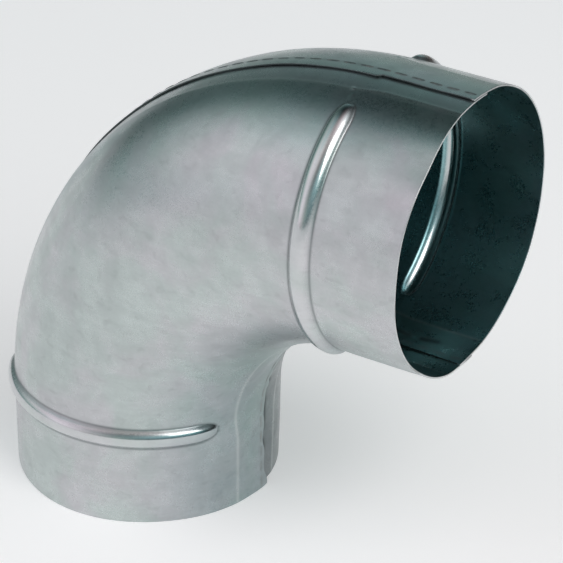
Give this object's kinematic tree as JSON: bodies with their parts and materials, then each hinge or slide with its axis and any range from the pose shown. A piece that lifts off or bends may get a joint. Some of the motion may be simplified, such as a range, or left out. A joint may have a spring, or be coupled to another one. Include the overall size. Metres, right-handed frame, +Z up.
{
  "type": "flue elbow",
  "caption": "Pressed 90 degree sheet-steel elbow for round flue or duct pipe: two lapped, stitch-welded half-shells with plain male spigots and raised stop beads.",
  "frame": {"origin": "centre of the lower spigot's open end", "axes": "+Z up the lower leg's axis, +X out along the upper leg's axis, which is 165 mm up; the bend lies in the XZ plane and the front half-shell is on the -Y side"},
  "size_m": [0.227, 0.13, 0.227],
  "materials": {
    "front_sheet": "matte galvanised zinc coat, lightly scuffed",
    "back_sheet": "matte galvanised zinc coat, lightly scuffed",
    "weld": "dull grey weld stitches"
  },
  "bodies": {
    "root": {"front_half_shell": "front_sheet", "back_half_shell": "back_sheet", "heel_weld_row": "weld", "throat_weld_row": "weld"}
  },
  "joints": []
}
